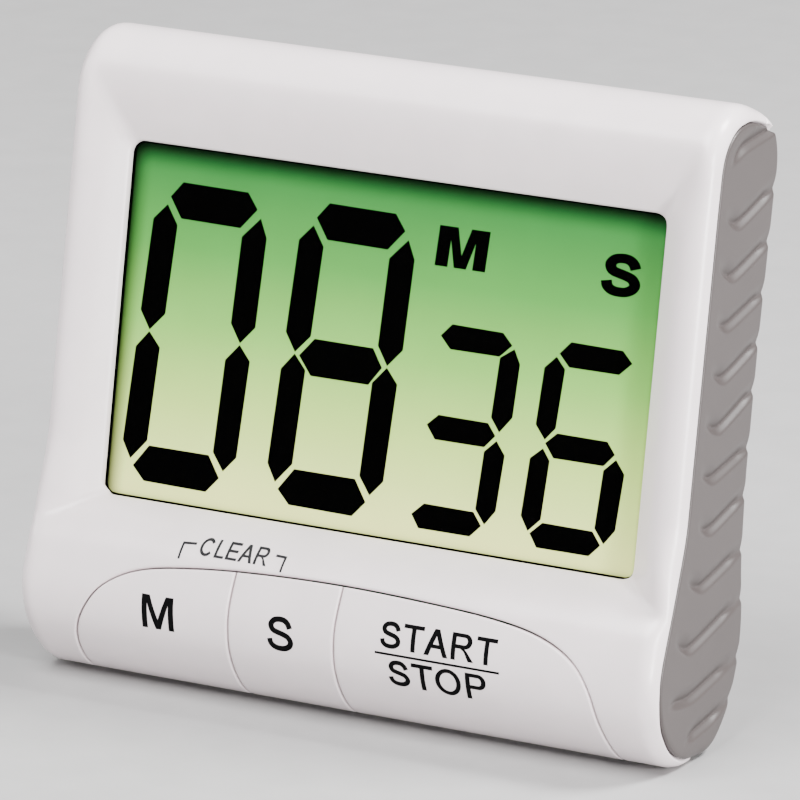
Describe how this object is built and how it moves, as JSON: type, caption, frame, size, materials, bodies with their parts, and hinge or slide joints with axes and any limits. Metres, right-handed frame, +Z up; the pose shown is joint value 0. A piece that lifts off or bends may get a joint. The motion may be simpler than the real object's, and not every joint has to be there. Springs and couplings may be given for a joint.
{
  "type": "digital countdown timer",
  "caption": "Leaning kitchen countdown timer with a large LCD, three push keys, ribbed side grips, a folding stand leg and a sliding battery door.",
  "frame": {"origin": "on the surface the timer stands on, under the middle of its overall box, with the stand leg open", "axes": "+Z up, +X to the right as the display is read, -Y towards the reader; the case leans back by 11 degrees"},
  "size_m": [0.077, 0.034, 0.0688],
  "materials": {
    "shell_white": "fine satin moulded ABS, faint blue-grey white",
    "key_white": "satin moulded ABS with printed legends",
    "grip_grey": "matt soft-touch grey elastomer",
    "clear_window": "polished clear acrylic",
    "lcd_glass": "thin polished display glass with dark segments",
    "green_film": "green diffusing film, paler towards the bottom",
    "frame_grey": "moulded ABS",
    "silicone": "translucent grey silicone",
    "carbon": "matt carbon-filled rubber",
    "board_green": "green solder mask with copper tracks",
    "black_epoxy": "glossy black epoxy and sleeve",
    "steel": "zinc-plated steel",
    "brass": "plain brass sheet",
    "ceramic": "silvered piezo ceramic",
    "red_wire": "red PVC insulation",
    "black_wire": "black PVC insulation",
    "cell_sleeve": "printed blue sleeve, bright metal ends",
    "nickel": "nickel-plated spring steel",
    "magnet_zinc": "nickel-plated disc magnet"
  },
  "bodies": {
    "case": {"front_shell": "shell_white", "rear_shell": "shell_white", "grip_left": "grip_grey", "grip_right": "grip_grey", "display_lens": "clear_window", "lcd_front_glass": "lcd_glass", "lcd_rear_glass": "lcd_glass", "lcd_reflector": "green_film", "display_frame": "frame_grey", "zebra_strip": "silicone", "keypad_mat": "silicone", "carbon_pill_1": "carbon", "carbon_pill_2": "carbon", "carbon_pill_3": "carbon", "circuit_board": "board_green", "chip_blob": "black_epoxy", "capacitor": "black_epoxy", "crystal": "steel", "shell_screw_1": "steel", "shell_screw_2": "steel", "shell_screw_3": "steel", "shell_screw_4": "steel", "board_screw_1": "steel", "board_screw_2": "steel", "board_screw_3": "steel", "board_screw_4": "steel", "sounder_plate": "brass", "sounder_ceramic": "ceramic", "battery_lead_red": "red_wire", "sounder_lead_red": "red_wire", "battery_lead_black": "black_wire", "sounder_lead_black": "black_wire", "battery": "cell_sleeve", "battery_contact_positive": "nickel", "battery_contact_negative": "nickel", "magnet_left": "magnet_zinc", "magnet_right": "magnet_zinc"},
    "minutes_key": {"key_minutes": "key_white"},
    "seconds_key": {"key_seconds": "key_white"},
    "start_stop_key": {"key_start_stop": "key_white"},
    "stand": {"stand_leg": "shell_white"},
    "door": {"battery_door": "shell_white"}
  },
  "joints": [
    {"name": "minutes_press", "type": "slide", "parent": "case", "child": "minutes_key", "axis": [0, 0.9816, -0.1908], "range_m": [0, 0.0006], "stiffness_N_per_m": 2500},
    {"name": "seconds_press", "type": "slide", "parent": "case", "child": "seconds_key", "axis": [0, 0.9816, -0.1908], "range_m": [0, 0.0006], "stiffness_N_per_m": 2500},
    {"name": "start_stop_press", "type": "slide", "parent": "case", "child": "start_stop_key", "axis": [0, 0.9816, -0.1908], "range_m": [0, 0.0006], "stiffness_N_per_m": 2500},
    {"name": "stand_fold", "type": "hinge", "parent": "case", "child": "stand", "pos_m": [0, 0.00261, 0.02405], "axis": [1, 0, 0], "range_deg": [-27, 0]},
    {"name": "door_slide", "type": "slide", "parent": "case", "child": "door", "axis": [0, 0.1908, 0.9816], "range_m": [0, 0.014]}
  ]
}
